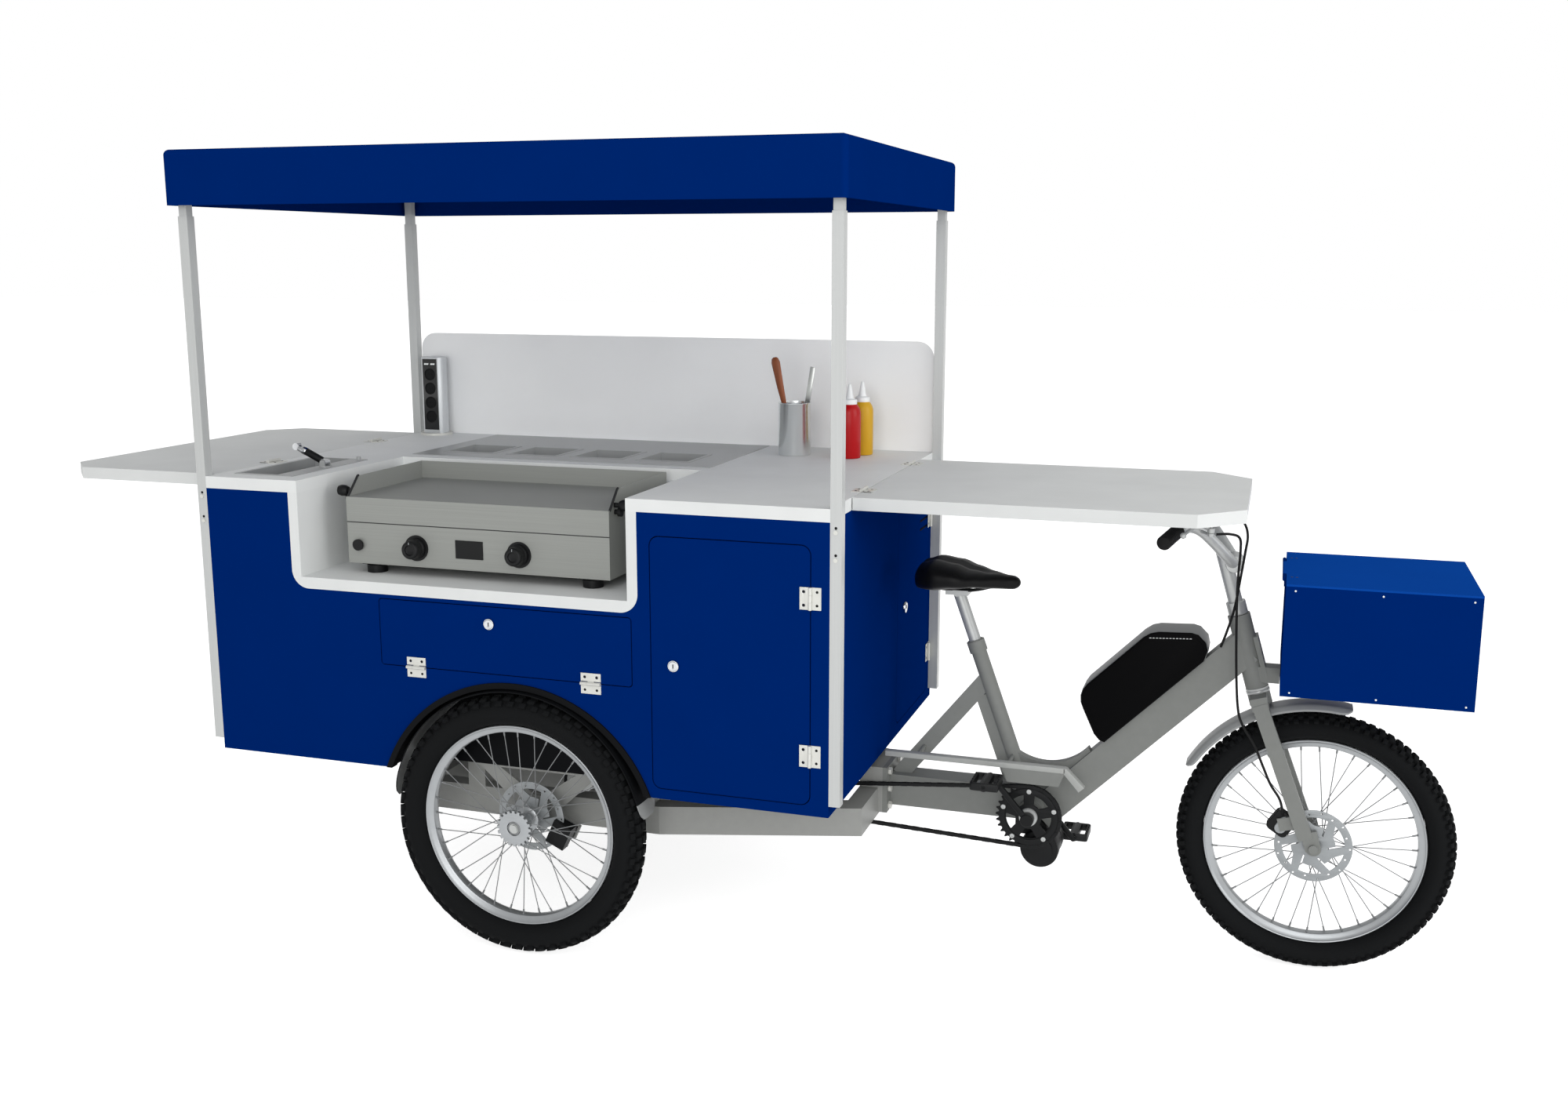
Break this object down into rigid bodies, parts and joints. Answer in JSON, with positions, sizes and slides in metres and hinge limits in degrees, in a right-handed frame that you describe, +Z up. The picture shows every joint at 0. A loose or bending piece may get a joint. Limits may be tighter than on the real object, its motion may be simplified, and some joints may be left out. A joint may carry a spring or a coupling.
{
  "type": "bicycle food cart",
  "caption": "Pedal tricycle with a cabinet kitchen: worktop with griddle, sink and food pans, folding tables, lifting canopy, doors and a steered front wheel with box.",
  "frame": {"origin": "on the ground, below the middle of the cart's overall box", "axes": "+X forward to the front wheel, +Y to the rider's left, +Z up"},
  "size_m": [2.9339, 0.93, 1.6238],
  "materials": {
    "frame_grey": "satin powder coat",
    "floor_dark": "matt",
    "panel_blue": "gloss laminate",
    "board_grey": "satin laminate",
    "arch_black": "matt",
    "guard_grey": "satin",
    "screen_white": "gloss",
    "post_alu": "satin anodised",
    "steel": "brushed",
    "hinge_steel": "zinc plated",
    "bottle_red": "gloss",
    "black_plastic": "matt",
    "black_metal": "satin paint",
    "chrome": "polished",
    "tower_grey": "satin",
    "saddle_black": "matt",
    "tyre_black": "matt tread",
    "wheel_alu": "polished",
    "crank_black": "satin anodised",
    "rubber_black": "matt",
    "bar_alu": "polished"
  },
  "bodies": {
    "cart": {"chassis_frame": "frame_grey", "cabinet_floor": "floor_dark", "side_panel_right": "panel_blue", "side_panel_left": "panel_blue", "end_panel_rear": "panel_blue", "end_panel_front": "panel_blue", "worktop": "board_grey", "griddle_bay": "board_grey", "wheel_arches": "arch_black", "rear_mudguards": "guard_grey", "back_screen": "screen_white", "post_sleeves": "post_alu", "food_pans": "steel", "sink_basin": "steel", "fixed_hardware": "hinge_steel", "utensil_pot": "steel", "sauce_bottles": "bottle_red", "griddle_body": "steel", "griddle_fittings": "black_plastic", "bike_frame": "frame_grey", "battery": "black_plastic", "motor_unit": "black_metal", "chains": "black_metal", "front_box": "panel_blue", "rear_calipers": "black_metal"},
    "canopy": {"canopy": "panel_blue", "inner_posts": "post_alu"},
    "rear_table": {"rear_table": "board_grey"},
    "front_table": {"front_table": "board_grey"},
    "side_door": {"side_door": "panel_blue"},
    "side_door_lock": {"side_door_lock": "chrome"},
    "drop_flap": {"drop_flap": "panel_blue"},
    "flap_lock": {"flap_lock": "chrome"},
    "front_door": {"front_door": "panel_blue"},
    "front_door_lock": {"front_door_lock": "chrome"},
    "box_lid": {"box_lid": "panel_blue"},
    "tap": {"tap_spout": "chrome"},
    "power_tower": {"power_tower": "tower_grey"},
    "knob_left": {"knob_left": "black_plastic"},
    "knob_right": {"knob_right": "black_plastic"},
    "igniter": {"igniter_button": "black_plastic"},
    "seat": {"seat_post": "bar_alu", "saddle": "saddle_black"},
    "front_wheel": {"front_wheel": "wheel_alu", "front_tyre": "tyre_black"},
    "right_wheel": {"right_wheel": "wheel_alu", "right_tyre": "tyre_black", "axle_shaft": "wheel_alu"},
    "left_wheel": {"left_wheel": "wheel_alu", "left_tyre": "tyre_black"},
    "crankset": {"crankset": "crank_black"},
    "pedal_right": {"pedal_right": "black_plastic"},
    "pedal_left": {"pedal_left": "black_plastic"},
    "gear_hub": {"gear_hub": "wheel_alu"},
    "steering": {"fork": "black_metal", "handlebar": "bar_alu", "grips": "rubber_black", "control_cables": "rubber_black"},
    "lever_right": {"lever_right": "bar_alu"},
    "lever_left": {"lever_left": "bar_alu"}
  },
  "joints": [
    {"name": "canopy_lift", "type": "slide", "parent": "cart", "child": "canopy", "axis": [0, 0, 1], "range_m": [0, 0.45]},
    {"name": "rear_table_fold", "type": "hinge", "parent": "cart", "child": "rear_table", "pos_m": [-1.04997, 0, 0.9638], "axis": [0, 1, 0], "range_deg": [0, 90]},
    {"name": "front_table_fold", "type": "hinge", "parent": "cart", "child": "front_table", "pos_m": [0.31803, 0, 0.9638], "axis": [0, -1, 0], "range_deg": [0, 80]},
    {"name": "side_door_swing", "type": "hinge", "parent": "cart", "child": "side_door", "pos_m": [0.28003, -0.4408, 0.638], "axis": [0, 0, 1], "range_deg": [0, 110]},
    {"name": "side_door_lock_turn", "type": "hinge", "parent": "side_door", "child": "side_door_lock", "pos_m": [0.00503, -0.437, 0.638], "axis": [0, 1, 0], "range_deg": [-90, 0]},
    {"name": "drop_flap_drop", "type": "hinge", "parent": "cart", "child": "drop_flap", "pos_m": [-0.36391, -0.4408, 0.587], "axis": [1, 0, 0], "range_deg": [0, 90]},
    {"name": "flap_lock_turn", "type": "hinge", "parent": "drop_flap", "child": "flap_lock", "pos_m": [-0.39141, -0.437, 0.691], "axis": [0, 1, 0], "range_deg": [0, 90]},
    {"name": "front_door_swing", "type": "hinge", "parent": "cart", "child": "front_door", "pos_m": [0.32083, 0.397, 0.645], "axis": [0, 0, 1], "range_deg": [0, 95]},
    {"name": "front_door_lock_turn", "type": "hinge", "parent": "front_door", "child": "front_door_lock", "pos_m": [0.31703, 0.155, 0.645], "axis": [1, 0, 0], "range_deg": [0, 90]},
    {"name": "box_lid_open", "type": "hinge", "parent": "cart", "child": "box_lid", "pos_m": [1.11423, 0, 0.8145], "axis": [0, -1, 0], "range_deg": [0, 100]},
    {"name": "tap_fold", "type": "hinge", "parent": "cart", "child": "tap", "pos_m": [-0.89097, -0.24, 0.971], "axis": [0, -1, 0], "range_deg": [-50, 18]},
    {"name": "tower_slide", "type": "slide", "parent": "cart", "child": "power_tower", "axis": [0, 0, -1], "range_m": [0, 0.19]},
    {"name": "knob_left_turn", "type": "hinge", "parent": "cart", "child": "knob_left", "pos_m": [-0.59497, -0.364, 0.82], "axis": [0, -1, 0], "range_deg": [0, 180]},
    {"name": "knob_right_turn", "type": "hinge", "parent": "cart", "child": "knob_right", "pos_m": [-0.35897, -0.364, 0.82], "axis": [0, -1, 0], "range_deg": [0, 180]},
    {"name": "igniter_press", "type": "slide", "parent": "cart", "child": "igniter", "axis": [0, 1, 0], "range_m": [0, 0.004], "stiffness_N_per_m": 800},
    {"name": "seat_height", "type": "slide", "parent": "cart", "child": "seat", "axis": [-0.342, 0, 0.9397], "range_m": [-0.06, 0.06]},
    {"name": "steer", "type": "hinge", "parent": "cart", "child": "steering", "pos_m": [1.05503, 0, 0.646], "axis": [-0.284, 0, 0.9588], "range_deg": [-25, 25]},
    {"name": "front_wheel_spin", "type": "hinge", "parent": "steering", "child": "front_wheel", "pos_m": [1.20097, 0, 0.266], "axis": [0, 1, 0], "continuous": true},
    {"name": "right_wheel_spin", "type": "hinge", "parent": "cart", "child": "right_wheel", "pos_m": [-0.33941, -0.43, 0.274], "axis": [0, 1, 0], "continuous": true},
    {"name": "left_wheel_spin", "type": "hinge", "parent": "cart", "child": "left_wheel", "pos_m": [-0.33941, 0.43, 0.274], "axis": [0, 1, 0], "continuous": true},
    {"name": "crank_spin", "type": "hinge", "parent": "cart", "child": "crankset", "pos_m": [0.64203, 0, 0.275], "axis": [0, 1, 0], "continuous": true},
    {"name": "pedal_right_spin", "type": "hinge", "parent": "crankset", "child": "pedal_right", "pos_m": [0.56462, -0.14, 0.36406], "axis": [0, 1, 0], "continuous": true},
    {"name": "pedal_left_spin", "type": "hinge", "parent": "crankset", "child": "pedal_left", "pos_m": [0.71945, 0.104, 0.18594], "axis": [0, 1, 0], "continuous": true},
    {"name": "gear_hub_spin", "type": "hinge", "parent": "cart", "child": "gear_hub", "pos_m": [0.15103, -0.1, 0.263], "axis": [0, 1, 0], "continuous": true},
    {"name": "lever_right_pull", "type": "hinge", "parent": "steering", "child": "lever_right", "pos_m": [0.97703, -0.124, 0.905], "axis": [0, 0, -1], "range_deg": [0, 9], "stiffness_Nm_per_rad": 1.5},
    {"name": "lever_left_pull", "type": "hinge", "parent": "steering", "child": "lever_left", "pos_m": [0.97703, 0.124, 0.905], "axis": [0, 0, 1], "range_deg": [0, 9], "stiffness_Nm_per_rad": 1.5}
  ],
  "couplings": [
    {"joint": "gear_hub_spin", "follows": "crank_spin", "ratio": 2}
  ]
}
